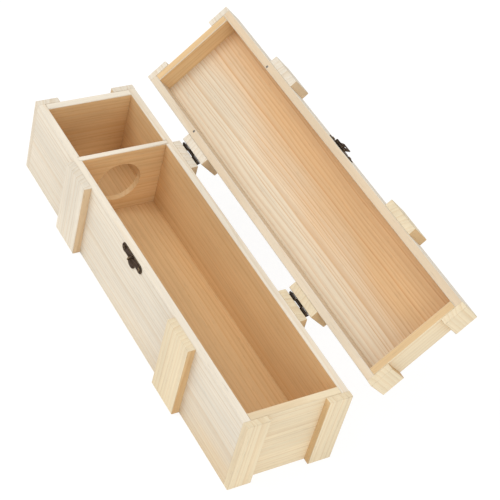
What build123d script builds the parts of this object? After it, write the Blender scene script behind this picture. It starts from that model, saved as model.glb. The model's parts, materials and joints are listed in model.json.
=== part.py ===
"""A pine presentation box for one wine bottle, with a hinged tray lid standing open.

Frame: millimetres, X along the box (near end at +X), Y across it (hasp side at -Y,
hinge side at +Y), Z up. The origin is the middle of the underside of the box body.
"""

from math import cos, radians, sin
import os

from build123d import *

# ---- Driving sizes of the woodwork -------------------------------------------------
box_length = 372.0  # over the two end panels
box_width = 94.0  # over the two long walls
body_height = 74.0  # underside to rim
lid_height = 24.0  # rim to top
board = 7.0  # long walls, end panels and lid rails
panel = 6.0  # bottom panel and lid panel
rabbet = 3.5  # how far a panel reaches into the boards round it
panel_play = 0.15  # left round a panel's edge so that it can swell
ease = 0.5  # chamfer of the edges that a hand meets

# ---- Divider between the bottle's body and its neck ---------------------------------
divider = 5.0  # thickness
neck_room = 64.0  # clear length of the far compartment
dado = 2.5  # depth of the grooves that hold the divider
dado_play = 0.15  # each side of the divider in its groove
neck_hole = 41.0  # diameter
neck_hole_height = 39.5  # centre above the underside

# ---- Battens ------------------------------------------------------------------------
side_batten_depth = 7.0  # how far the bands stand out from the long sides
end_batten_depth = 6.0  # and the upright strips from the end faces
end_batten_width = 21.0  # upright strips on the end faces
side_batten_width = 35.0  # bands round the long sides
side_batten_setback = 92.5  # centre of a band from the end of the box

# ---- Lid position -------------------------------------------------------------------
lid_gap = 0.3  # between the rims when the lid is shut
open_angle = 135.0  # the lid rests against its hinge stops here

# ---- Hinges -------------------------------------------------------------------------
hinge_length = 25.0
knuckles = 3  # two on the body leaf, one on the lid leaf
knuckle_gap = 0.3
leaf_sheet = 0.5
leaf_width = 13.0  # from the pin to the edge of the leaf
leaf_corner = 2.5
leaf_neck = 1.2  # straight part of the sheet beside the barrel
leaf_crank = 0.35  # how far the sheet steps out from the wood to the barrel
hinge_pin_radius = 0.5
pin_fit = 0.05  # radial
pin_play = 0.2  # between the barrel and each pin head
pin_head_radius = 1.0
pin_head_height = 0.6
stop_gap = 0.3  # between the stop ears and the lid leaf with the lid open
stop_near = 2.2  # the ears' bearing edge begins here along the lid leaf
stop_far = 4.2  # and ends here
stop_root_near = 0.9  # the ears' root on the body leaf begins here
stop_root_far = 4.6  # and ends here
hinge_screw_spread = 16.0

# ---- Hasp and catch -----------------------------------------------------------------
latch_middle = 3.0  # towards the near end from the middle of the box
latch_sheet = 0.8
ear_radius = 4.0
ear_offset = 13.0  # ear centre from the middle of the plate
lobe_radius = 6.0
plate_depth = 13.5  # straight edge to the tip of the middle lobe
web_depth = 7.5  # depth of the plate between its lobes
lobe_blend = 1.2
catch_drop = 1.5  # straight edge of the catch plate below the rim
hasp_rise = 1.5  # hasp pin above the rim of the shut lid
hasp_lift = 0.6  # barrel off the wood, so that the tongue turns freely
hasp_pin_radius = 0.6
hasp_barrel = 13.0
tongue_knuckle = 6.4
tongue_neck = 1.9  # the tongue widens beyond this distance from its pin
tongue_width = 12.0
tongue_tip_width = 9.5
tongue_tip_corner = 2.6
tongue_end = 1.6  # metal left beyond the slot
tongue_lip = 1.4  # end of the tongue, turned out for a finger
tongue_lip_rise = 0.9
tongue_rest = 160.0  # how far the tongue has fallen back from its shut position
slot_room = 0.5  # round the staple, in the tongue's slot
staple_drop = 3.4  # staple centre below the straight edge of the catch plate
staple_wire = 0.6  # radius
staple_bend = 1.2  # radius of its bend, to the middle of the wire
staple_headroom = 0.6  # between the shut tongue and the inside of the bend
staple_depth = 5.0  # length of the legs in the wood

# ---- Screws and brads ---------------------------------------------------------------
screw_fit = 0.05  # radial, round every shank
screw_radius = 0.9
screw_head_radius = 1.6
screw_head_height = 0.8
screw_end_room = 0.3  # hole beyond the end
shank_sides = 8
hinge_screw_length = 5.6
latch_screw_length = 6.5
brad_radius = 0.5
brad_head_radius = 1.15
brad_head = 0.5
brad_length = 16.0
brad_setback = 77.0  # from the far end of the lid
brad_inset = 2.1  # from the inner face of the rail

# ---- Places that several pieces share -----------------------------------------------
inner_width = box_width - 2 * board
inner_length = box_length - 2 * board
divider_x = -inner_length / 2 + neck_room + divider / 2
side_batten_x = box_length / 2 - side_batten_setback
cut_over = 1.0  # how far a cutter runs past the face that it opens

barrel_bore = hinge_pin_radius + pin_fit
barrel_radius = barrel_bore + leaf_sheet
hinge_offset = barrel_radius + leaf_crank  # pin axis from the face of the battens
crank_end = leaf_neck + leaf_crank
knuckle_pitch = hinge_length / knuckles
knuckle_length = knuckle_pitch - knuckle_gap
knuckle_places = [(k - (knuckles - 1) / 2) * knuckle_pitch for k in range(knuckles)]
body_knuckles = knuckle_places[0::2]
lid_knuckles = knuckle_places[1::2]
stop_angle = radians(open_angle)
stop_face = hinge_offset - leaf_sheet - stop_gap  # bearing edge from the pin axis

hasp_bore = hasp_pin_radius + pin_fit
hasp_barrel_radius = hasp_bore + latch_sheet
hasp_axis_height = hasp_barrel_radius + hasp_lift  # pin axis from the face of the rail
staple_half = staple_bend + staple_wire
staple_distance = hasp_rise + lid_gap + catch_drop + staple_drop  # from the hasp pin
slot_start = staple_distance - staple_half - slot_room
slot_end = staple_distance + staple_half + slot_room
slot_width = 2 * (staple_wire + slot_room)
tongue_length = slot_end + tongue_end
tongue_sweep = 2 * tongue_length  # deeper than the tongue, to cut its outline through
tongue_shut_face = hasp_axis_height + hasp_barrel_radius  # from the face of the wall
bend_middle = tongue_shut_face + staple_headroom - staple_bend + staple_wire

hinge_y = box_width / 2 + side_batten_depth + hinge_offset
hinge_z = body_height + lid_gap / 2
lid_top = body_height + lid_gap + lid_height
to_hinge = Location((0, hinge_y, hinge_z))
swing = Location((0, hinge_y, hinge_z), (-open_angle, 0, 0))
lid_opened = swing * to_hinge.inverse()  # carries the shut lid to where it stands

body_frame = Plane.XY
lid_frame = Plane(lid_opened * Location((0, 0, lid_top), (180, 0, 0)))


# ---- Planes -------------------------------------------------------------------------
def across(frame):
    """The plane square to a frame's X: right is the frame's Y, up is its Z."""
    return Plane(frame.origin, x_dir=frame.y_dir, z_dir=frame.x_dir)


def lengthwise(frame):
    """The plane along a frame's X: right is its X, up is its Z."""
    return Plane(frame.origin, x_dir=frame.x_dir, z_dir=-frame.y_dir)


def moved(frame, x=0.0, y=0.0, z=0.0):
    """The same plane, moved within its own axes."""
    return Plane(frame.location * Location((x, y, z)))


def opened(frame):
    """A plane drawn on the shut lid, carried to where the lid stands."""
    return Plane(lid_opened * frame.location)


# ---- Woodwork -----------------------------------------------------------------------
# A tray's frame has its panel's outer face at Z = 0 and its rim at Z = height, so the
# lid is the body's shallow twin, turned over.
def long_board(frame, height, side, grooved, holes, recesses=()):
    """A wall or rail along the box, rabbeted for the panel and, where asked, grooved
    for the divider. It is bored for shanks and recessed for brad heads."""
    outer = side * box_width / 2
    inner = side * inner_width / 2
    shelf = side * (inner_width / 2 + rabbet)
    with BuildPart() as wall:
        with BuildSketch(across(frame)):
            with BuildLine():
                Polyline(
                    (outer, 0),
                    (outer, height),
                    (inner, height),
                    (inner, panel),
                    (shelf, panel),
                    (shelf, 0),
                    close=True,
                )
            make_face()
        extrude(amount=box_length / 2, both=True)
        rim_face = wall.faces().sort_by(Axis(frame.origin, frame.z_dir))[-1]
        chamfer(rim_face.edges().filter_by(Axis(frame.origin, frame.x_dir)), ease)
        if grooved:
            with BuildSketch(frame.offset(panel)):
                with Locations((divider_x, side * (inner_width + dado - cut_over) / 2)):
                    Rectangle(divider + 2 * dado_play, dado + cut_over)
            extrude(amount=height, mode=Mode.SUBTRACT)
        for seat, radius, depth in holes:
            bore(seat, radius, depth)
        for seat, radius, depth in recesses:
            drill(seat, radius, depth)
    return wall


def end_board(frame, height, end):
    """An end panel or lid end rail, fitted between the long boards."""
    outer = end * box_length / 2
    inner = end * inner_length / 2
    shelf = end * (inner_length / 2 + rabbet)
    with BuildPart() as wall:
        with BuildSketch(lengthwise(frame)):
            with BuildLine():
                Polyline(
                    (outer, 0),
                    (outer, height),
                    (inner, height),
                    (inner, panel),
                    (shelf, panel),
                    (shelf, 0),
                    close=True,
                )
            make_face()
        extrude(amount=inner_width / 2, both=True)
        rim_face = wall.faces().sort_by(Axis(frame.origin, frame.z_dir))[-1]
        chamfer(rim_face.edges().filter_by(Axis(frame.origin, frame.y_dir)), ease)
    return wall


def flat_panel(frame):
    """The bottom or the lid's top, let into the rabbets of the four boards."""
    spread = 2 * (rabbet - panel_play)
    with BuildPart() as sheet:
        with BuildSketch(frame):
            Rectangle(inner_length + spread, inner_width + spread)
        extrude(amount=panel)
    return sheet


def side_batten(frame, height, side, x, holes=()):
    """An upright band on a long side, flush with the rim and the outer face."""
    face = moved(across(frame), x=side * box_width / 2)
    with BuildPart() as strip:
        with BuildSketch(face.offset(x)):
            with Locations((side * side_batten_depth / 2, height / 2)):
                Rectangle(side_batten_depth, height)
        extrude(amount=side_batten_width / 2, both=True)
        outward = Axis(frame.origin, frame.y_dir * side)
        chamfer(strip.faces().sort_by(outward)[-1].edges(), ease)
        for seat, radius, depth in holes:
            bore(seat, radius, depth)
    return strip


def end_batten(frame, height, end, side):
    """An upright strip on an end face, flush with the long side: it covers the end
    grain of the long board and the butt joint beside it."""
    middle = side * (box_width - end_batten_width) / 2
    with BuildPart() as strip:
        with BuildSketch(moved(across(frame), z=end * box_length / 2)):
            with Locations((middle, height / 2)):
                Rectangle(end_batten_width, height)
        extrude(amount=end * end_batten_depth)
        outward = Axis(frame.origin, frame.x_dir * end)
        chamfer(strip.faces().sort_by(outward)[-1].edges(), ease)
    return strip


def cross_divider(frame, height):
    """The cross board in its two grooves, bored for the bottle's neck."""
    reach = inner_width + 2 * (dado - dado_play)
    with BuildPart() as board_across:
        with BuildSketch(moved(across(frame), z=divider_x - divider / 2)):
            with Locations((0, (panel + height) / 2)):
                Rectangle(reach, height - panel)
        extrude(amount=divider)
        rim_face = board_across.faces().sort_by(Axis(frame.origin, frame.z_dir))[-1]
        chamfer(rim_face.edges().filter_by(Axis(frame.origin, frame.y_dir)), ease)
        with BuildSketch(moved(across(frame), z=divider_x - divider)):
            with Locations((0, neck_hole_height)):
                Circle(neck_hole / 2)
        extrude(amount=2 * divider, mode=Mode.SUBTRACT)
    return board_across


# ---- Fasteners ----------------------------------------------------------------------
def drill(seat, radius, depth):
    """Cuts a round hole into the part being built, down from the seat plane."""
    with Locations(seat.location):
        Hole(radius, depth)


def bore(seat, radius, depth):
    """Cuts a shank's hole into wood. A fastener cuts its own way in, so the hole has the
    shank's flats."""
    with BuildSketch(seat) as section:
        RegularPolygon(radius, shank_sides)
    extrude(section.sketch, amount=-depth, mode=Mode.SUBTRACT)


def wood_screws(seats, length):
    """Flat-topped wood screws, each with its head standing on a seat plane. The flats
    of a shank stand for its thread."""
    with BuildPart() as screws:
        for seat in seats:
            with BuildSketch(seat):
                Circle(screw_head_radius)
            extrude(amount=screw_head_height)
            with BuildSketch(seat):
                RegularPolygon(screw_radius, shank_sides)
            extrude(amount=-length)
    return screws


def flush_brads(seats):
    """Brads driven until their heads are flush with the seat planes."""
    with BuildPart() as brads:
        for seat in seats:
            with BuildSketch(seat):
                Circle(brad_head_radius)
            extrude(amount=-brad_head)
            with BuildSketch(seat.offset(-brad_head)):
                RegularPolygon(brad_radius, shank_sides)
            extrude(amount=brad_head - brad_length)
    return brads


def plain_pin(frame, radius, length):
    """A pin along the frame's X, held by its knuckles."""
    with BuildPart() as pin:
        with BuildSketch(across(frame).offset(-length / 2)):
            Circle(radius)
        extrude(amount=length)
    return pin


def headed_pin(frame, radius, length):
    """A pin along the frame's X, spread to a flat head at each end."""
    section = across(frame)
    with BuildPart() as pin:
        with BuildSketch(section.offset(-length / 2)):
            Circle(radius)
        extrude(amount=length)
        for start in (-length / 2 - pin_head_height, length / 2):
            with BuildSketch(section.offset(start)):
                Circle(pin_head_radius)
            extrude(amount=pin_head_height)
    return pin


# ---- Hinges -------------------------------------------------------------------------
# A leaf's frame lies on the pin: X along it, Y towards the wood, Z along the leaf.
def leaf_screw_seats(frame):
    """Seat planes of a leaf's two screws, on the leaf's outer face."""
    face = lengthwise(frame).offset(leaf_sheet - hinge_offset)
    along = (crank_end + leaf_width) / 2
    spread = hinge_screw_spread / 2
    return [moved(face, x=-spread, y=along), moved(face, x=spread, y=along)]


def bearing_point(along):
    """A point on the edge of a stop ear, as (towards the wood, along the body leaf):
    it lies under the open lid leaf, at this distance along it from the pin."""
    return (
        stop_face * cos(stop_angle) - along * sin(stop_angle),
        -stop_face * sin(stop_angle) - along * cos(stop_angle),
    )


def hinge_leaf(frame, own_knuckles, stops=False):
    """A leaf bent from sheet: a flat plate, a crank, and knuckles rolled round the
    pin. The body leaf has an ear at each end, on which the open lid leaf rests."""
    section = across(frame)
    inner_face = barrel_radius - leaf_sheet
    root = hinge_offset - leaf_sheet / 2
    with BuildPart() as leaf:
        with BuildSketch(lengthwise(frame).offset(-hinge_offset)) as outline:
            with Locations((0, (crank_end + leaf_width) / 2)):
                Rectangle(hinge_length, leaf_width - crank_end)
            fillet(outline.vertices().group_by(Axis.Y)[-1], leaf_corner)
        extrude(amount=leaf_sheet)
        for x in own_knuckles:
            with BuildSketch(section.offset(x - knuckle_length / 2)):
                Circle(barrel_radius)
                with BuildLine():
                    Polyline(
                        (barrel_radius, 0),
                        (barrel_radius, leaf_neck),
                        (hinge_offset, crank_end),
                        (hinge_offset - leaf_sheet, crank_end),
                        (inner_face, leaf_neck),
                        (inner_face, 0),
                        close=True,
                    )
                make_face()
                Circle(barrel_bore, mode=Mode.SUBTRACT)
            extrude(amount=knuckle_length)
        if stops:
            for x in (-hinge_length / 2, hinge_length / 2 - leaf_sheet):
                with BuildSketch(section.offset(x)):
                    with BuildLine():
                        Polyline(
                            (root, stop_root_near),
                            bearing_point(stop_near),
                            bearing_point(stop_far),
                            (root, stop_root_far),
                            close=True,
                        )
                    make_face()
                extrude(amount=leaf_sheet)
        for seat in leaf_screw_seats(frame):
            drill(seat, screw_radius + screw_fit, leaf_sheet)
    return leaf


# ---- Hasp and catch -----------------------------------------------------------------
# A plate's frame lies on the wood: X along the straight edge, Y towards the meeting
# line of lid and body, Z out of the wood. The plate hangs to -Y from its straight edge.
def ear_seats(frame):
    """Seat planes of the two ear screws, on the plate's outer face."""
    face = frame.offset(latch_sheet)
    return [moved(face, x=x, y=-ear_radius) for x in (-ear_offset, ear_offset)]


def three_lobed_plate(frame, knuckled=False, wires=()):
    """A stamped plate with a screw ear at each end and a round lobe in the middle."""
    with BuildPart() as plate:
        with BuildSketch(frame) as outline:
            with Locations((0, -web_depth / 2)):
                Rectangle(2 * ear_offset, web_depth)
            with Locations((-ear_offset, -ear_radius), (ear_offset, -ear_radius)):
                Circle(ear_radius)
            with Locations((0, lobe_radius - plate_depth)):
                Circle(lobe_radius)
            bottom = outline.vertices().filter_by_position(Axis.Y, -web_depth, -web_depth)
            fillet(bottom, lobe_blend)
        extrude(amount=latch_sheet)
        if knuckled:
            roll = across(frame)
            knuckle = (hasp_barrel - tongue_knuckle - 2 * knuckle_gap) / 2
            for x in (-hasp_barrel / 2, hasp_barrel / 2 - knuckle):
                with BuildSketch(roll.offset(x)):
                    with Locations((0, hasp_axis_height)):
                        Circle(hasp_barrel_radius)
                    with Locations((-hasp_barrel_radius / 2, hasp_axis_height / 2)):
                        Rectangle(hasp_barrel_radius, hasp_axis_height)
                extrude(amount=knuckle)
            clear = hasp_barrel_radius + knuckle_gap
            with BuildSketch(frame):
                with Locations((0, -clear / 2)):
                    Rectangle(tongue_knuckle + 2 * knuckle_gap, clear)
            extrude(amount=latch_sheet, mode=Mode.SUBTRACT)
            with BuildSketch(roll):
                with Locations((0, hasp_axis_height)):
                    Circle(hasp_bore)
            extrude(amount=hasp_barrel / 2, both=True, mode=Mode.SUBTRACT)
        for seat in ear_seats(frame):
            drill(seat, screw_radius + screw_fit, latch_sheet)
        for seat in wires:
            drill(seat, staple_wire + screw_fit, latch_sheet)
    return plate


def staple_seats(frame):
    """Where the staple's two legs enter the plate."""
    face = frame.offset(latch_sheet)
    return [moved(face, y=-staple_drop + leg) for leg in (-staple_bend, staple_bend)]


def wire_staple(frame):
    """A wire bent to a U, its legs driven through the plate into the wall."""
    path_plane = moved(across(frame), x=-staple_drop)
    foot = Plane(path_plane.location * Location((-staple_bend, -staple_depth, 0)))
    with BuildPart() as staple:
        with BuildLine(path_plane):
            Line((-staple_bend, -staple_depth), (-staple_bend, bend_middle))
            ThreePointArc(
                (-staple_bend, bend_middle),
                (0, bend_middle + staple_bend),
                (staple_bend, bend_middle),
            )
            Line((staple_bend, bend_middle), (staple_bend, -staple_depth))
        with BuildSketch(Plane(foot.origin, x_dir=frame.x_dir, z_dir=frame.z_dir)):
            RegularPolygon(staple_wire, shank_sides)
        sweep()
    return staple


def hasp_tongue(frame):
    """The slotted tongue. Its frame lies on the pin: X along it, Y outwards when shut,
    Z from the pin to the tip."""
    inside = hasp_bore
    outside = hasp_barrel_radius
    lip_start = tongue_length - tongue_lip
    with BuildPart() as tongue:
        with BuildSketch(across(frame)):
            Circle(outside)
            with BuildLine():
                Polyline(
                    (inside, 0),
                    (inside, lip_start),
                    (inside + tongue_lip_rise, tongue_length),
                    (outside + tongue_lip_rise, tongue_length),
                    (outside, lip_start),
                    (outside, 0),
                    close=True,
                )
            make_face()
            Circle(hasp_bore, mode=Mode.SUBTRACT)
        extrude(amount=tongue_width / 2, both=True)
        with BuildSketch(lengthwise(frame)) as outline:
            Rectangle(tongue_knuckle, 2 * (tongue_neck + ease))
            with BuildLine():
                Polyline(
                    (-tongue_width / 2, tongue_neck),
                    (tongue_width / 2, tongue_neck),
                    (tongue_tip_width / 2, tongue_length),
                    (-tongue_tip_width / 2, tongue_length),
                    close=True,
                )
            make_face()
            fillet(outline.vertices().group_by(Axis.Y)[-1], tongue_tip_corner)
            with Locations((0, (slot_start + slot_end) / 2)):
                SlotOverall(slot_end - slot_start, slot_width, rotation=90, mode=Mode.SUBTRACT)
        extrude(amount=tongue_sweep, both=True, mode=Mode.INTERSECT)
    return tongue


# ---- Assembly -----------------------------------------------------------------------
os.makedirs("parts", exist_ok=True)


def finish(piece, name):
    """Names a finished piece and writes its file."""
    piece.part.label = name
    export_step(piece.part, f"parts/{name}.step")


ends = {"far": -1, "near": 1}
sides = {"front": -1, "back": 1}
screw_hole = screw_radius + screw_fit
hinge_hole_depth = hinge_screw_length + screw_end_room
latch_hole_depth = latch_screw_length + screw_end_room

# Hinge frames, one pair at each back batten.
body_leaf_frames = {}
lid_leaf_frames = {}
for end_name, end in ends.items():
    pin_middle = (end * side_batten_x, hinge_y, hinge_z)
    body_leaf_frames[end_name] = Plane(pin_middle, x_dir=(1, 0, 0), z_dir=(0, 0, -1))
    lid_leaf_frames[end_name] = opened(Plane(pin_middle, x_dir=(-1, 0, 0), z_dir=(0, 0, 1)))

# Hasp frames.
catch_edge = (latch_middle, -box_width / 2, body_height - catch_drop)
hasp_edge = (latch_middle, -box_width / 2, body_height + lid_gap + hasp_rise)
catch_frame = Plane(catch_edge, x_dir=(1, 0, 0), z_dir=(0, -1, 0))
hasp_frame = opened(Plane(hasp_edge, x_dir=(-1, 0, 0), z_dir=(0, -1, 0)))
hasp_pin_frame = hasp_frame.offset(hasp_axis_height)
tongue_shut = Plane(hasp_pin_frame.origin, x_dir=-hasp_pin_frame.x_dir, z_dir=hasp_pin_frame.y_dir)
tongue_frame = Plane(tongue_shut.location * Location((0, 0, 0), (-tongue_rest, 0, 0)))

# Holes that the hardware's screws and legs need in the woodwork.
body_leaf_holes = {}
lid_leaf_holes = {}
for end_name in ends:
    body_seats = leaf_screw_seats(body_leaf_frames[end_name])
    lid_seats = leaf_screw_seats(lid_leaf_frames[end_name])
    body_leaf_holes[end_name] = [(s, screw_hole, hinge_hole_depth) for s in body_seats]
    lid_leaf_holes[end_name] = [(s, screw_hole, hinge_hole_depth) for s in lid_seats]
catch_holes = [(s, screw_hole, latch_hole_depth) for s in ear_seats(catch_frame)]
leg_depth = latch_sheet + staple_depth + screw_end_room
catch_holes += [(s, staple_wire + screw_fit, leg_depth) for s in staple_seats(catch_frame)]
hasp_holes = [(s, screw_hole, latch_hole_depth) for s in ear_seats(hasp_frame)]

# Brads in the lid's rim, at the middle of each long rail.
brad_seats = {}
brad_holes = {}
brad_recesses = {}
for side_name, side in sides.items():
    across_lid = -side * (inner_width / 2 + brad_inset)
    seat = moved(lid_frame, x=brad_setback - box_length / 2, y=across_lid, z=lid_height)
    brad_seats[side_name] = seat
    brad_holes[side_name] = [(seat, brad_radius + screw_fit, brad_length + screw_end_room)]
    brad_recesses[side_name] = [(seat, brad_head_radius + screw_fit, brad_head)]

# Body of the box.
body_board_holes = {"front": catch_holes, "back": []}
finish(flat_panel(body_frame), "bottom_panel")
finish(cross_divider(body_frame, body_height), "divider")
for side_name, side in sides.items():
    holes = body_board_holes[side_name]
    finish(long_board(body_frame, body_height, side, True, holes), f"{side_name}_wall")
for end_name, end in ends.items():
    finish(end_board(body_frame, body_height, end), f"{end_name}_end_panel")
    for side_name, side in sides.items():
        strip = end_batten(body_frame, body_height, end, side)
        finish(strip, f"{end_name}_end_batten_{side_name}")
        holes = body_leaf_holes[end_name] if side_name == "back" else ()
        band = side_batten(body_frame, body_height, side, end * side_batten_x, holes)
        finish(band, f"{side_name}_batten_{end_name}")

# Lid. Its frame is turned over, so its front is towards its own +Y.
lid_board_holes = {"front": hasp_holes + brad_holes["front"], "back": brad_holes["back"]}
finish(flat_panel(lid_frame), "lid_panel")
for side_name, side in sides.items():
    holes = lid_board_holes[side_name]
    rail = long_board(lid_frame, lid_height, -side, False, holes, brad_recesses[side_name])
    finish(rail, f"lid_{side_name}_rail")
for end_name, end in ends.items():
    finish(end_board(lid_frame, lid_height, end), f"lid_{end_name}_rail")
    for side_name, side in sides.items():
        strip = end_batten(lid_frame, lid_height, end, -side)
        finish(strip, f"lid_{end_name}_batten_{side_name}")
        holes = lid_leaf_holes[end_name] if side_name == "back" else ()
        band = side_batten(lid_frame, lid_height, -side, end * side_batten_x, holes)
        finish(band, f"lid_{side_name}_batten_{end_name}")
finish(flush_brads(brad_seats.values()), "lid_brads")

# Hinges.
hinge_pin_length = hinge_length + 2 * pin_play
for end_name in ends:
    body_leaf = hinge_leaf(body_leaf_frames[end_name], body_knuckles, stops=True)
    finish(body_leaf, f"hinge_leaf_body_{end_name}")
    lid_leaf = hinge_leaf(lid_leaf_frames[end_name], lid_knuckles)
    finish(lid_leaf, f"hinge_leaf_lid_{end_name}")
    pin = headed_pin(body_leaf_frames[end_name], hinge_pin_radius, hinge_pin_length)
    finish(pin, f"hinge_pin_{end_name}")
body_screw_seats = [s for holes in body_leaf_holes.values() for s, _, _ in holes]
lid_screw_seats = [s for holes in lid_leaf_holes.values() for s, _, _ in holes]
finish(wood_screws(body_screw_seats, hinge_screw_length), "hinge_screws_body")
finish(wood_screws(lid_screw_seats, hinge_screw_length), "hinge_screws_lid")

# Hasp and catch.
finish(three_lobed_plate(catch_frame, wires=staple_seats(catch_frame)), "catch_plate")
finish(wire_staple(catch_frame), "catch_staple")
finish(wood_screws(ear_seats(catch_frame), latch_screw_length), "catch_screws")
finish(three_lobed_plate(hasp_frame, knuckled=True), "hasp_plate")
finish(wood_screws(ear_seats(hasp_frame), latch_screw_length), "hasp_screws")
finish(hasp_tongue(tongue_frame), "hasp_tongue")
finish(plain_pin(hasp_pin_frame, hasp_pin_radius, hasp_barrel), "hasp_pin")
print("hinge axis y, z:", hinge_y, hinge_z)
print("hasp axis:", hasp_pin_frame.origin)
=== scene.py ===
# %% [markdown]
# # A pine box for one wine bottle
#
# The box stands open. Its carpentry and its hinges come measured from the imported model, so
# this lesson doesn't change where anything is. It gives each board its grain and its eased
# edges, gives the small metal parts their worn bronze, and lights the whole like a
# catalogue picture on white.

# %% Frame
import json
from math import cos, radians, sin, tau

import bmesh
import bpy
from mathutils import Matrix, Vector

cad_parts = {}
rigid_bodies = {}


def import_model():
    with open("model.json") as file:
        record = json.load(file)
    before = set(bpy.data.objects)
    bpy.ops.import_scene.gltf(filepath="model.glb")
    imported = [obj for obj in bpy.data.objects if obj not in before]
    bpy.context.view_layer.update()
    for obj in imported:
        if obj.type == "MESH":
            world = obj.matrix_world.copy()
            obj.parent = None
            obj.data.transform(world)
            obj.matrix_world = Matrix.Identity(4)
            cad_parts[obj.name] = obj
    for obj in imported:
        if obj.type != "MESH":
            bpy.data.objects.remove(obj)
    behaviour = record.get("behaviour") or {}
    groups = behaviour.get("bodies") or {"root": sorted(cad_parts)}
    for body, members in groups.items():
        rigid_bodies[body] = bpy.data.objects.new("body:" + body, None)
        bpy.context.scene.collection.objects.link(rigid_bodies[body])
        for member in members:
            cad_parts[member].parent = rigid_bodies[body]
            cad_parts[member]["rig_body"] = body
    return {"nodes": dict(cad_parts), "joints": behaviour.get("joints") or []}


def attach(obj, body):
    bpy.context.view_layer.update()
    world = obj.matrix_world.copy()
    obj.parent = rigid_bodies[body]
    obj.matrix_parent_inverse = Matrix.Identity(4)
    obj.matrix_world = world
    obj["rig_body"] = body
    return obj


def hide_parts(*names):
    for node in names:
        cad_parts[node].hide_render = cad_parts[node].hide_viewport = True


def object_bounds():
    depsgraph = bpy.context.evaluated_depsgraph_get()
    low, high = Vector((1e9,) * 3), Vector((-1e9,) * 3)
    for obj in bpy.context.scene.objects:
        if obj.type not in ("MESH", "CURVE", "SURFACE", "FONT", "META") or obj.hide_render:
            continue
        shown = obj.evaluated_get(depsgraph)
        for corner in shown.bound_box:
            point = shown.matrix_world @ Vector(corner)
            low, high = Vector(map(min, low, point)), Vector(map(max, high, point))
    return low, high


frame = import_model()
cad_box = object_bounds()
mm = 0.001
print("pieces in the frame:", len(frame["nodes"]))
print("size in mm:", [round(s / mm, 1) for s in cad_box[1] - cad_box[0]])

# %% [markdown]
# ## The lid's own frame
#
# The lid stands open at its hinge stops, so its boards are tilted. A grain pattern is far
# easier to lay out on the shut box, where every board is square to the axes. The hinge
# joint says how far the lid has to turn to shut, and that turn gives one matrix. We use
# it to measure the lid's boards and to carry their patterns.

# %% Shut position of each body
joints = {joint["name"]: joint for joint in frame["joints"]}
lid_joint = joints["lid_hinge"]
hinge_line = Vector(lid_joint["pos_m"])
shut_turn = radians(lid_joint["range_deg"][1])
shut_lid = (
    Matrix.Translation(hinge_line)
    @ Matrix.Rotation(shut_turn, 4, "X")
    @ Matrix.Translation(-hinge_line)
)
shut = {"root": Matrix.Identity(4), "lid": shut_lid, "hasp": shut_lid}
body_of = {node: node_object["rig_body"] for node, node_object in frame["nodes"].items()}


def shut_box(node):
    """Lowest and highest corner of a piece with the lid shut."""
    places = [shut[body_of[node]] @ v.co for v in frame["nodes"][node].data.vertices]
    low = Vector([min(p[axis] for p in places) for axis in range(3)])
    high = Vector([max(p[axis] for p in places) for axis in range(3)])
    return low, high


low, high = shut_box("lid_panel")
print("lid panel, shut, in mm:", [round(s / mm, 1) for s in high - low])

# %% [markdown]
# ## Wiring a material
#
# A material is a small machine: boxes that each do one sum, and wires between them. Made
# by hand, each box needs five or six lines. This helper makes one box, sets its fixed
# numbers and plugs in its wires, so that a recipe below reads from top to bottom.


# %% Node helper
def add(tree, kind, inputs=(), **settings):
    """One node: settings are its options, inputs its sockets' values or wires."""
    made = tree.nodes.new("ShaderNode" + kind)
    for name, value in settings.items():
        setattr(made, name, value)
    for socket, value in dict(inputs).items():
        if isinstance(value, bpy.types.NodeSocket):
            tree.links.new(value, made.inputs[socket])
        else:
            made.inputs[socket].default_value = value
    return made


def sum_of(tree, operation, *values):
    """A Math node's result."""
    return add(tree, "Math", dict(enumerate(values)), operation=operation).outputs[0]


def noise(tree, place, detail=2.0, roughness=0.5, stretch=(1, 1, 1)):
    """Soft noise, finer by the stretch along each axis."""
    scaled = add(tree, "VectorMath", {0: place, 1: stretch}, operation="MULTIPLY")
    inputs = {
        "Vector": scaled.outputs[0],
        "Scale": 1.0,
        "Detail": detail,
        "Roughness": roughness,
    }
    return add(tree, "TexNoise", inputs)


def span(tree, value, low, high, to_low=0.0, to_high=1.0):
    """Spreads the stretch low to high over to_low to to_high, with soft ends."""
    inputs = {
        "Value": value,
        "From Min": low,
        "From Max": high,
        "To Min": to_low,
        "To Max": to_high,
    }
    return add(tree, "MapRange", inputs, interpolation_type="SMOOTHSTEP").outputs[0]


def blend(tree, share, first, second, how="MIX"):
    """One colour mixed into another."""
    inputs = {"Factor": share, "A": first, "B": second}
    made = tree.nodes.new("ShaderNodeMix")
    made.data_type = "RGBA"
    made.blend_type = how
    by_kind = {"Factor": 0, "A": 6, "B": 7}
    for name, value in inputs.items():
        socket = made.inputs[by_kind[name]]
        if isinstance(value, bpy.types.NodeSocket):
            tree.links.new(value, socket)
        else:
            socket.default_value = value
    return made.outputs[2]


# %% [markdown]
# ## Pine, as the tree made it
#
# A board's figure isn't painted on its face. It is a slice through the rings of a trunk,
# so the same rings show as long stripes on the face and as arcs on the end. We build the
# trunk once, as a solid pattern: distance from the heart gives the ring, and each ring
# goes from pale spring wood to a darker summer line. A picture wrapped round the board
# could not turn the corner like that. The trunk lies along X, with its heart on the axis.


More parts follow.
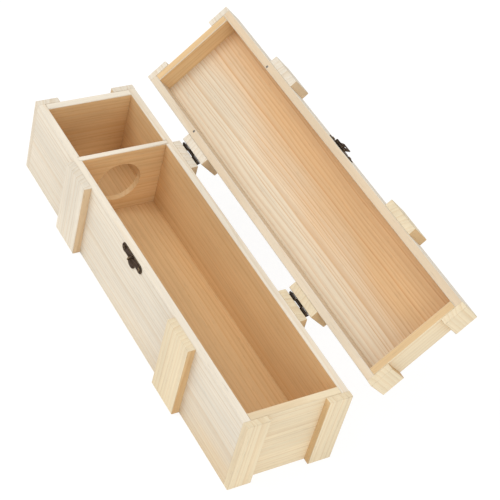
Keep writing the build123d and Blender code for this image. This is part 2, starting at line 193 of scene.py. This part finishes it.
# %% The trunk
def make_trunk():
    """The node group that gives pine's colour and relief at a place in the trunk."""
    trunk = bpy.data.node_groups.new("pine_trunk", "ShaderNodeTree")
    face = trunk.interface
    face.new_socket("place", in_out="INPUT", socket_type="NodeSocketVector")
    for name in ("ring", "heartwood", "end_grain", "arris", "raw_and_shade"):
        face.new_socket(name, in_out="INPUT", socket_type="NodeSocketFloat")
    for name in ("spring", "summer", "heart", "raw_and_shade_tint"):
        face.new_socket(name, in_out="INPUT", socket_type="NodeSocketColor")
    face.new_socket("colour", in_out="OUTPUT", socket_type="NodeSocketColor")
    for name in ("relief", "roughness"):
        face.new_socket(name, in_out="OUTPUT", socket_type="NodeSocketFloat")
    given = trunk.nodes.new("NodeGroupInput").outputs

    # Trunks aren't straight: a slow wave and a fine one push the rings about.
    slow = noise(trunk, given["place"], 2.0, 0.5, (3, 22, 22)).outputs["Color"]
    fine = noise(trunk, given["place"], 2.0, 0.5, (14, 140, 140)).outputs["Color"]
    slow_push = add(trunk, "VectorMath", {0: slow, 1: (0.5,) * 3}, operation="SUBTRACT").outputs[0]
    fine_push = add(trunk, "VectorMath", {0: fine, 1: (0.5,) * 3}, operation="SUBTRACT").outputs[0]
    inputs = {0: slow_push, 1: (0.012,) * 3, 2: given["place"]}
    bent = add(trunk, "VectorMath", inputs, operation="MULTIPLY_ADD").outputs[0]
    inputs = {0: fine_push, 1: (0.0013,) * 3, 2: bent}
    bent = add(trunk, "VectorMath", inputs, operation="MULTIPLY_ADD").outputs[0]
    inputs = {0: bent, 1: (0, 1, 1)}
    spoke = add(trunk, "VectorMath", inputs, operation="MULTIPLY").outputs[0]
    radius = add(trunk, "VectorMath", {0: spoke}, operation="LENGTH").outputs["Value"]

    # Rings, some years wide and some narrow.
    years = sum_of(trunk, "DIVIDE", radius, given["ring"])
    lean_years = add(
        trunk, "TexNoise", {"W": years, "Scale": 0.4, "Detail": 1.0}, noise_dimensions="1D"
    ).outputs[0]
    years = sum_of(trunk, "MULTIPLY_ADD", lean_years, 1.6, years)
    season = sum_of(trunk, "FRACT", years)
    year = sum_of(trunk, "FLOOR", years)
    vigour = add(trunk, "TexWhiteNoise", {"W": year}, noise_dimensions="1D").outputs["Value"]
    line = add(trunk, "ValToRGB", {"Fac": season})
    ramp = line.color_ramp
    ramp.elements[0].position = 0.0
    ramp.elements[0].color = (0.08, 0.08, 0.08, 1)
    ramp.elements[1].position = 1.0
    ramp.elements[1].color = (0.08, 0.08, 0.08, 1)
    for position, level in ((0.10, 0.0), (0.50, 0.16), (0.78, 0.62), (0.90, 1.0), (0.96, 0.75)):
        ramp.elements.new(position).color = (level, level, level, 1)
    strength = sum_of(trunk, "MULTIPLY_ADD", vigour, 0.6, 0.4)
    summer_line = sum_of(trunk, "MULTIPLY", line.outputs["Color"], strength)

    # Fibres run along the trunk, from hair-fine ones to streaks a hand can feel.
    fibre = noise(trunk, bent, 3.0, 0.65, (35, 1500, 1500)).outputs[0]
    streak = noise(trunk, bent, 2.0, 0.55, (5, 260, 260)).outputs[0]
    cloud = noise(trunk, bent, 2.0, 0.5, (7, 26, 26)).outputs[0]
    ducts = noise(trunk, bent, 1.0, 0.5, (90, 1900, 1900)).outputs[0]
    duct = span(trunk, ducts, 0.66, 0.74)

    colour = blend(trunk, summer_line, given["spring"], given["summer"])
    inner = sum_of(trunk, "SUBTRACT", given["heartwood"], radius)
    cloudy = sum_of(trunk, "MULTIPLY_ADD", cloud, 0.05, inner)
    in_heart = span(trunk, cloudy, 0.0, 0.06)
    colour = blend(trunk, in_heart, colour, given["heart"], "MULTIPLY")
    # Painted shade: marked faces are multiplied by a darker, more orange tint, as if shaded inside
    # the box; on the battens' sides it is partly darker sawn wood.
    colour = blend(trunk, given["raw_and_shade"], colour, given["raw_and_shade_tint"], "MULTIPLY")
    light = span(trunk, cloud, 0.25, 0.75, 0.94, 1.05)
    light = sum_of(trunk, "MULTIPLY", light, span(trunk, streak, 0.2, 0.8, 0.955, 1.04))
    light = sum_of(trunk, "MULTIPLY", light, span(trunk, fibre, 0.2, 0.8, 0.95, 1.045))
    light = sum_of(trunk, "MULTIPLY", light, sum_of(trunk, "MULTIPLY_ADD", duct, -0.16, 1.0))
    end_dark = sum_of(trunk, "MULTIPLY_ADD", given["end_grain"], -0.06, 1.0)
    light = sum_of(trunk, "MULTIPLY", light, end_dark)
    rubbed = sum_of(trunk, "MULTIPLY_ADD", given["arris"], -0.05, 1.0)
    light = sum_of(trunk, "MULTIPLY", light, rubbed)
    shade = add(trunk, "CombineColor", {0: light, 1: light, 2: light}).outputs[0]
    colour = blend(trunk, 1.0, colour, shade, "MULTIPLY")

    relief = sum_of(trunk, "MULTIPLY_ADD", summer_line, 0.35, fibre)
    relief = sum_of(trunk, "MULTIPLY_ADD", duct, -0.6, relief)
    dull = span(trunk, fibre, 0.2, 0.8, 0.50, 0.66)
    result = trunk.nodes.new("NodeGroupOutput")
    trunk.links.new(colour, result.inputs["colour"])
    trunk.links.new(relief, result.inputs["relief"])
    trunk.links.new(dull, result.inputs["roughness"])
    return trunk


trunk = make_trunk()
print("boxes in the trunk's recipe:", len(trunk.nodes))

# %% [markdown]
# ## Where each board was sawn
#
# Every board gets its own place in the trunk. Its long side lies with the grain. Its heart
# sits well outside the board, mostly beyond one edge, which gives the straight stripes of
# the picture, and a little behind the face, which lets some boards show wider figure. A
# Mapping node carries the place, and for the lid it also carries the turn that shuts it.

# %% Saw plan
axes = {"X": Vector((1, 0, 0)), "Y": Vector((0, 1, 0)), "Z": Vector((0, 0, 1))}
heart_beyond = 0.125  # metres from a board's middle, across its width
heart_sway = 0.035
heart_behind = 0.045
trunk_step = 0.9  # along the trunk, from one board to the next
lean_steps = 7


def saw_frame(node, grain, count, edge_way=1.0):
    """The matrix from the object's places to the trunk's."""
    low, high = shut_box(node)
    size = high - low
    across = sorted((a for a in "XYZ" if a != grain), key=lambda a: size["XYZ".index(a)])
    thickness, width = (axes[a] for a in across)
    lean = tau * count / lean_steps
    heart = (low + high) / 2
    heart += edge_way * width * (heart_beyond + heart_sway * cos(lean))
    heart += thickness * heart_behind * sin(lean)
    heart -= axes[grain] * trunk_step * count
    rows = [axes[grain], width, axes[grain].cross(width)]
    turn = Matrix(rows).to_4x4()
    return turn @ Matrix.Translation(-heart) @ shut[body_of[node]]


def pine(node, grain, count, tones, ring, heartwood, taper, edge_way):
    """A board's pine, from its own part of the trunk. The heart is a long cone, so it
    reaches further out towards the near end by the taper."""
    material = bpy.data.materials.new("pine_" + node)
    material.use_nodes = True
    tree = material.node_tree
    shader = tree.nodes["Principled BSDF"]
    places = add(tree, "TexCoord").outputs["Object"]
    sawn = saw_frame(node, grain, count, edge_way)
    mapping = add(tree, "Mapping", {"Vector": places})
    mapping.inputs["Location"].default_value = sawn.to_translation()
    mapping.inputs["Rotation"].default_value = sawn.to_euler()
    group = tree.nodes.new("ShaderNodeGroup")
    group.node_tree = trunk
    tree.links.new(mapping.outputs[0], group.inputs["place"])
    group.inputs["ring"].default_value = ring * mm
    along = add(tree, "SeparateXYZ", {"Vector": places}).outputs["X"]
    # On the lid's panel the heartwood's reach and taper are partly painted shade: darker orange
    # towards the near end.
    reach = sum_of(tree, "MULTIPLY_ADD", along, taper, heartwood)
    tree.links.new(reach, group.inputs["heartwood"])
    for name in ("end_grain", "arris", "raw_and_shade"):
        mark = add(tree, "Attribute", attribute_name=name).outputs["Fac"]
        tree.links.new(mark, group.inputs[name])
    for name, tone in zip(("spring", "summer", "heart", "raw_and_shade_tint"), tones):
        group.inputs[name].default_value = (*tone, 1)
    tree.links.new(group.outputs["colour"], shader.inputs["Base Color"])
    tree.links.new(group.outputs["roughness"], shader.inputs["Roughness"])
    inputs = {"Height": group.outputs["relief"], "Strength": 0.35, "Distance": 0.12 * mm}
    bump = add(tree, "Bump", inputs)
    tree.links.new(bump.outputs[0], shader.inputs["Normal"])
    shader.inputs["Specular IOR Level"].default_value = 0.35
    return material


# %% [markdown]
# ## Boards with eased edges
#
# A planed board never has a razor edge. Its corners are knocked off with one pass of
# sandpaper, and that thin soft line is what tells the eye where two boards meet. We take
# each board's mesh from the frame, merge its loose triangles, melt the flat ones together
# and bevel the long edges. Three marks are kept on the faces for the pine: where the end
# grain shows, where a hand has rubbed an edge, and where painted shade goes. The faces of
# the hollow and the lid's rim get a darker, more orange tint as painted shade and painted
# bounce light. The battens' sawn sides get it too, partly as darker sawn wood and partly as
# painted shade.

# %% Board helper
sharp = radians(40)
rim_margin = 0.8 * mm
touch = 0.1 * mm
mostly = 0.7  # how much of a normal lies along an axis that the face looks along
wholly = 0.98


def hollow_of(body):
    """Lowest and highest corner of the body's or the shut lid's hollow."""
    low = Vector((shut_box("far_end_panel")[1].x, shut_box("front_wall")[1].y, 0))
    high = Vector((shut_box("near_end_panel")[0].x, shut_box("back_wall")[0].y, 0))
    if body == "root":
        low.z = shut_box("bottom_panel")[1].z
        high.z = shut_box("front_wall")[1].z - rim_margin
    else:
        low.z = shut_box("lid_front_rail")[0].z
        high.z = shut_box("lid_panel")[0].z
    return low, high


hollow = {body: hollow_of(body) for body in ("root", "lid")}
print("high corner of the body's hollow in mm:", [round(c / mm, 1) for c in hollow["root"][1]])


def is_raw_or_shaded(node, place, normal):
    """Whether a face of the shut box takes the painted shade tint: it bounds the hollow, or is
    the lid's rim, or is a batten's sawn side, where the tint is partly darker sawn wood."""
    if "batten" in node:
        low, high = shut_box(node)
        if high.x - low.x > high.y - low.y:
            return abs(normal.x) > mostly
        return abs(normal.y) > mostly and normal.y * place.y < 0
    low, high = hollow[body_of[node]]
    if body_of[node] == "lid" and normal.z < -mostly and place.z < low.z + touch:
        return True
    return all(low[axis] - touch < place[axis] < high[axis] + touch for axis in range(3))


def whole_mesh(node):
    """A copy of a frame piece, its triangles merged into whole faces."""
    mesh = bmesh.new()
    mesh.from_mesh(frame["nodes"][node].data)
    bmesh.ops.remove_doubles(mesh, verts=mesh.verts, dist=0.001 * mm)
    bmesh.ops.dissolve_limit(
        mesh, angle_limit=radians(0.5), verts=mesh.verts, edges=mesh.edges
    )
    return mesh


def place_piece(mesh, name, node, material):
    """Makes the piece's object, on the body of the frame piece that it stands for."""
    data = bpy.data.meshes.new(name)
    mesh.to_mesh(data)
    mesh.free()
    piece = bpy.data.objects.new(name, data)
    bpy.context.scene.collection.objects.link(piece)
    data.materials.append(material)
    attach(piece, body_of[node])
    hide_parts(node)
    return piece


def board(node, grain, material, ease=0.22 * mm, shortest=2.5 * mm):
    """A board with its long edges eased, and its end grain and edges marked."""
    mesh = whole_mesh(node)
    edges = [
        edge
        for edge in mesh.edges
        if len(edge.link_faces) == 2
        and edge.calc_face_angle(0) > sharp
        and edge.calc_length() > shortest
    ]
    bmesh.ops.bevel(
        mesh,
        geom=edges,
        offset=ease,
        offset_type="OFFSET",
        segments=2,
        profile=0.5,
        affect="EDGES",
        material=-1,
        clamp_overlap=False,
    )
    end_grain = mesh.faces.layers.float.new("end_grain")
    arris = mesh.faces.layers.float.new("arris")
    raw_and_shade = mesh.faces.layers.float.new("raw_and_shade")
    turn = shut[body_of[node]]
    for face in mesh.faces:
        normal = turn.to_3x3() @ face.normal
        place = turn @ face.calc_center_median()
        # Marks the faces that take the painted shade tint: the hollow, the lid's rim, and the
        # battens' sides, which are partly darker sawn wood.
        face[raw_and_shade] = 1.0 if is_raw_or_shaded(node, place, normal) else 0.0
        face[end_grain] = 1.0 if abs(normal.dot(axes[grain])) > mostly else 0.0
        face[arris] = 0.0 if max(abs(n) for n in normal) > wholly else 1.0
        face.smooth = face[arris] > 0.5
    piece = place_piece(mesh, node + "_board", node, material)
    print(node, "eased edges:", len(edges), "faces:", len(piece.data.polygons))
    return piece


# %% [markdown]
# ## The boards
#
# Each tone is three colours of pine: the pale spring wood, the summer line, and the tint
# that heartwood multiplies in. A fourth goes with it, the tint of the board's painted shade.
# The walls and battens are the palest, and the near end is a little yellower. The lid's
# panel has the clearest lines. Its heart is beyond the hasp's edge and reaches further in
# at the near end, which is where the picture is most orange. That heartwood is partly
# painted shade, for the shade along the lid's rail by the hasp and towards the near end.

# %% Boards
# amber, biscuit, wheat and toast tint the faces marked for painted shade. Wheat and toast are
# darker, for deeper painted shade on the lid's front and near rails; on the battens' sides toast
# is partly darker sawn wood.
amber = (0.91, 0.695, 0.44)
biscuit = (0.91, 0.85, 0.77)
wheat = (0.88, 0.78, 0.66)
toast = (0.84, 0.69, 0.52)
cream = ((0.835, 0.755, 0.625), (0.74, 0.60, 0.43), (0.93, 0.83, 0.68))
straw = ((0.85, 0.72, 0.50), (0.76, 0.58, 0.36), (0.94, 0.83, 0.68))
honey = ((0.88, 0.81, 0.68), (0.71, 0.49, 0.28), (0.86, 0.63, 0.41))
long_boards = {
    "front_wall": (*cream, amber),
    "back_wall": (*cream, amber),
    "bottom_panel": (*cream, amber),
    "lid_panel": (*honey, biscuit),
    "lid_front_rail": (*cream, wheat),
    "lid_back_rail": (*cream, biscuit),
}
cross_boards = {
    "near_end_panel": (*straw, amber),
    "far_end_panel": (*cream, amber),
    "divider": (*cream, amber),
    "lid_near_rail": (*straw, toast),
    "lid_far_rail": (*cream, amber),
}
battens = {
    node: (*straw, toast) if "near" in node else (*cream, toast)
    for node in frame["nodes"]
    if "batten" in node
}
usual_ring = 4.2
ring_width = {"lid_panel": 3.2}
usual_heart = (0.05, 0.0, 1.0)  # reach in metres, taper, and the side that it lies on
# The lid panel's heartwood is partly painted shade, along the rail by the hasp and towards the
# near end.
heart_and_shade_reach = {"lid_panel": (0.101, 0.12, -1.0), "front_wall": (0.108, 0.22, -1.0)}
sawn = 0
for grain, boards in (("X", long_boards), ("Y", cross_boards), ("Z", battens)):
    for node, tones in boards.items():
        sawn += 1
        ring = ring_width.get(node, usual_ring)
        reach, taper, side = heart_and_shade_reach.get(node, usual_heart)
        wood = pine(node, grain, sawn, tones, ring, reach, taper, side)
        board(node, grain, wood)
print("boards sawn:", sawn)

# %% [markdown]
# ## Antique bronze
#
# The hinges and the hasp are pressed from thin sheet, dipped in a dark finish and then
# tumbled, so the brass shows again along every edge. The dark coat is a metal with a dull,
# cloudy gloss. The bright edges come from a mark on the bevelled faces, broken up by
# noise, since wear is never even.


# %% Bronze
def bronze(name, dark, bright, worn=1.0):
    """A dark dipped metal whose marked edges are rubbed bright."""
    material = bpy.data.materials.new(name)
    material.use_nodes = True
    tree = material.node_tree
    shader = tree.nodes["Principled BSDF"]
    places = add(tree, "TexCoord").outputs["Object"]
    cloud = noise(tree, places, 4.0, 0.6, (260, 260, 260)).outputs[0]
    grit = noise(tree, places, 2.0, 0.6, (2600, 2600, 2600)).outputs[0]
    edge = add(tree, "Attribute", attribute_name="edge").outputs["Fac"]
    patchy = sum_of(tree, "MULTIPLY", edge, span(tree, cloud, 0.32, 0.62, 0.15, worn))
    thin = span(tree, cloud, 0.55, 0.8, 0.0, 0.14)
    share = sum_of(tree, "MAXIMUM", patchy, thin)
    colour = blend(tree, share, (*dark, 1), (*bright, 1))
    tree.links.new(colour, shader.inputs["Base Color"])
    dull = span(tree, grit, 0.3, 0.7, 0.36, 0.52)
    tree.links.new(dull, shader.inputs["Roughness"])
    bump = add(tree, "Bump", {"Height": grit, "Strength": 0.25, "Distance": 0.05 * mm})
    tree.links.new(bump.outputs[0], shader.inputs["Normal"])
    shader.inputs["Metallic"].default_value = 1.0
    shader.inputs["Specular Tint"].default_value = (0.60, 0.46, 0.36, 1)
    shader.inputs["Coat Weight"].default_value = 0.2
    shader.inputs["Coat Roughness"].default_value = 0.2
    return material


antique = bronze("antique_bronze", (0.030, 0.020, 0.013), (0.36, 0.25, 0.14))
pin_metal = bronze("bronze_pins", (0.040, 0.029, 0.020), (0.42, 0.30, 0.18))
steel = bronze("brad_steel", (0.16, 0.14, 0.12), (0.40, 0.38, 0.35), 0.6)


# %% [markdown]
# ## Pressed parts with soft edges
#
# Shears and a tumbling barrel leave every edge of the sheet a little round. The same way
# as for the boards works here, with a much smaller bevel, and the bevelled faces carry the
# mark that the bronze reads.


# %% Metal helper
def metal_part(node, material, ease):
    """A metal piece with all its sharp edges rounded and marked."""
    mesh = whole_mesh(node)
    before = len(mesh.faces)
    edge_mark = mesh.faces.layers.float.new("edge")
    edges = [
        edge
        for edge in mesh.edges
        if len(edge.link_faces) == 2 and edge.calc_face_angle(0) > sharp
    ]
    bevelled = bmesh.ops.bevel(
        mesh,
        geom=edges,
        offset=ease,
        offset_type="OFFSET",
        segments=2,
        profile=0.5,
        affect="EDGES",
        material=-1,
        clamp_overlap=False,
    )
    for face in bevelled["faces"]:
        face[edge_mark] = 1.0
    for face in mesh.faces:
        face.smooth = True
    piece = place_piece(mesh, node + "_metal", node, material)
    print(node, "faces before and after:", before, len(piece.data.polygons))
    return piece


# %% [markdown]
# ## Screw heads
#
# The frame's screws are plain cylinders. On each one we find the top of the head, which is
# a large flat face with many sides, and round its rim over with a wide bevel. The middle
# stays flat and catches the light by itself.

# %% Screw helper
many_sides = 30
whole_top = 7 * mm**2
flat_top = 2 * mm**2
rim_round = 0.55 * mm
rim_shine = 0.6


def wide_flats(mesh, smallest):
    """The many-sided flat faces of a piece that are larger than the smallest."""
    return [
        face
        for face in mesh.faces
        if len(face.verts) > many_sides and face.calc_area() > smallest
    ]


def rounded_screws(node, material):
    """Screws whose heads have rounded rims."""
    mesh = whole_mesh(node)
    edge_mark = mesh.faces.layers.float.new("edge")
    tops = wide_flats(mesh, whole_top)
    heads = len(tops)
    rims = [edge for face in tops for edge in face.edges]
    rounded = bmesh.ops.bevel(
        mesh,
        geom=rims,
        offset=rim_round,
        offset_type="OFFSET",
        segments=4,
        profile=0.5,
        affect="EDGES",
        material=-1,
        clamp_overlap=False,
    )
    for face in rounded["faces"]:
        face[edge_mark] = rim_shine
    for face in mesh.faces:
        face.smooth = True
    for face in wide_flats(mesh, flat_top):
        face.smooth = False
    piece = place_piece(mesh, node + "_metal", node, material)
    print(node, "heads rounded:", heads)
    return piece


# %% Hardware
hinge_ease = 0.1 * mm
plate_ease = 0.12 * mm
wire_ease = 0.13 * mm
fine_ease = 0.05 * mm
for end in ("far", "near"):
    metal_part(f"hinge_leaf_body_{end}", antique, hinge_ease)
    metal_part(f"hinge_leaf_lid_{end}", antique, hinge_ease)
    metal_part(f"hinge_pin_{end}", pin_metal, hinge_ease)
for node in ("catch_plate", "hasp_plate", "hasp_tongue"):
    metal_part(node, antique, plate_ease)
metal_part("hasp_pin", pin_metal, fine_ease)
metal_part("catch_staple", pin_metal, wire_ease)
for node in ("hinge_screws_body", "hinge_screws_lid", "catch_screws", "hasp_screws"):
    rounded_screws(node, pin_metal)
metal_part("lid_brads", steel, fine_ease)

# %% [markdown]
# ## Floor
#
# The box stands on a white sweep. The floor reflects a little light up into the box like
# card would. Where the camera looks at it directly it is topped up to paper white, and
# only the box's own shadow is left on it.

# %% White floor
floor_mesh = bmesh.new()
bmesh.ops.create_grid(floor_mesh, x_segments=1, y_segments=1, size=4.0)
floor_data = bpy.data.meshes.new("floor")
floor_mesh.to_mesh(floor_data)
floor_mesh.free()
floor = bpy.data.objects.new("floor", floor_data)
bpy.context.scene.collection.objects.link(floor)
card = bpy.data.materials.new("white_card")
card.use_nodes = True
card_tree = card.node_tree
card_tree.nodes.clear()
ray = add(card_tree, "LightPath").outputs
seen = sum_of(card_tree, "MAXIMUM", ray["Is Camera Ray"], ray["Is Glossy Ray"])
seen = sum_of(card_tree, "MAXIMUM", seen, ray["Is Transmission Ray"])
paper = add(card_tree, "BsdfDiffuse", {"Color": (0.80, 0.80, 0.80, 1)}).outputs[0]
thin_paper = add(card_tree, "BsdfDiffuse", {"Color": (0.22, 0.22, 0.22, 1)}).outputs[0]
glow = add(card_tree, "Emission", {"Color": (1, 1, 1, 1), "Strength": 0.84}).outputs[0]
lit = add(card_tree, "AddShader", {0: thin_paper, 1: glow}).outputs[0]
both = add(card_tree, "MixShader", {0: seen, 1: paper, 2: lit}).outputs[0]
out = card_tree.nodes.new("ShaderNodeOutputMaterial")
card_tree.links.new(both, out.inputs["Surface"])
floor_data.materials.append(card)
print("floor size in m:", round(floor.dimensions.x, 1))

# %% [markdown]
# ## Light
#
# Catalogue pictures on white use large soft lamps and a bright room all round. The world
# gives the room. The key lamp stands above the far front corner, and a second one lights
# the near end. Both are wide, so that the shadows inside the box stay soft.

# %% Lamps
world = bpy.data.worlds.new("studio")
bpy.context.scene.world = world
world.use_nodes = True
world_tree = world.node_tree
world_tree.nodes.clear()
path = add(world_tree, "LightPath").outputs
room = add(world_tree, "Background", {"Color": (1, 1, 1, 1), "Strength": 0.78}).outputs[0]
white = add(world_tree, "Background", {"Color": (1, 1, 1, 1), "Strength": 1.0}).outputs[0]
world_mix = add(world_tree, "MixShader", {0: path["Is Camera Ray"], 1: room, 2: white}).outputs[0]
world_out = world_tree.nodes.new("ShaderNodeOutputWorld")
world_tree.links.new(world_mix, world_out.inputs["Surface"])


def soft_lamp(name, place, aim, size, watts):
    """A square area lamp, turned to look at its aim."""
    data = bpy.data.lights.new(name, "AREA")
    data.size = size
    data.energy = watts
    lamp = bpy.data.objects.new(name, data)
    lamp.location = place
    lamp.rotation_euler = (Vector(aim) - Vector(place)).to_track_quat("-Z", "Y").to_euler()
    bpy.context.scene.collection.objects.link(lamp)
    return lamp


middle = (cad_box[0] + cad_box[1]) / 2
soft_lamp("key", (-0.6, -0.75, 1.1), middle, 0.9, 6.6)
soft_lamp("end", (1.2, -0.2, 0.55), middle, 0.7, 3.2)
print("lamps aim at:", [round(m, 3) for m in middle])

# %% [markdown]
# ## Camera
#
# The picture was taken from above the near front corner with the camera held askew, so
# the box runs down the frame. Its place and its turn were found by fitting the corners of
# the box. The lens is long, with little perspective.

# %% Camera
lens = 112.54
sensor = 36.0
eye = Vector((0.74484, -0.56159, 0.93123))
right = Vector((0.47806, 0.85369, 0.20657))
down = Vector((0.67391, -0.20567, -0.70961))
forward = right.cross(down)
camera_data = bpy.data.cameras.new("camera")
camera_data.lens = lens
camera_data.sensor_width = sensor
camera_data.sensor_fit = "HORIZONTAL"
camera = bpy.data.objects.new("camera", camera_data)
turn = Matrix((right, -down, -forward)).transposed()
camera.matrix_world = Matrix.Translation(eye) @ turn.to_4x4()
bpy.context.scene.collection.objects.link(camera)
bpy.context.scene.camera = camera
print("camera looks along:", [round(f, 3) for f in forward])

# %% Colour view
bpy.context.scene.view_settings.view_transform = "Standard"
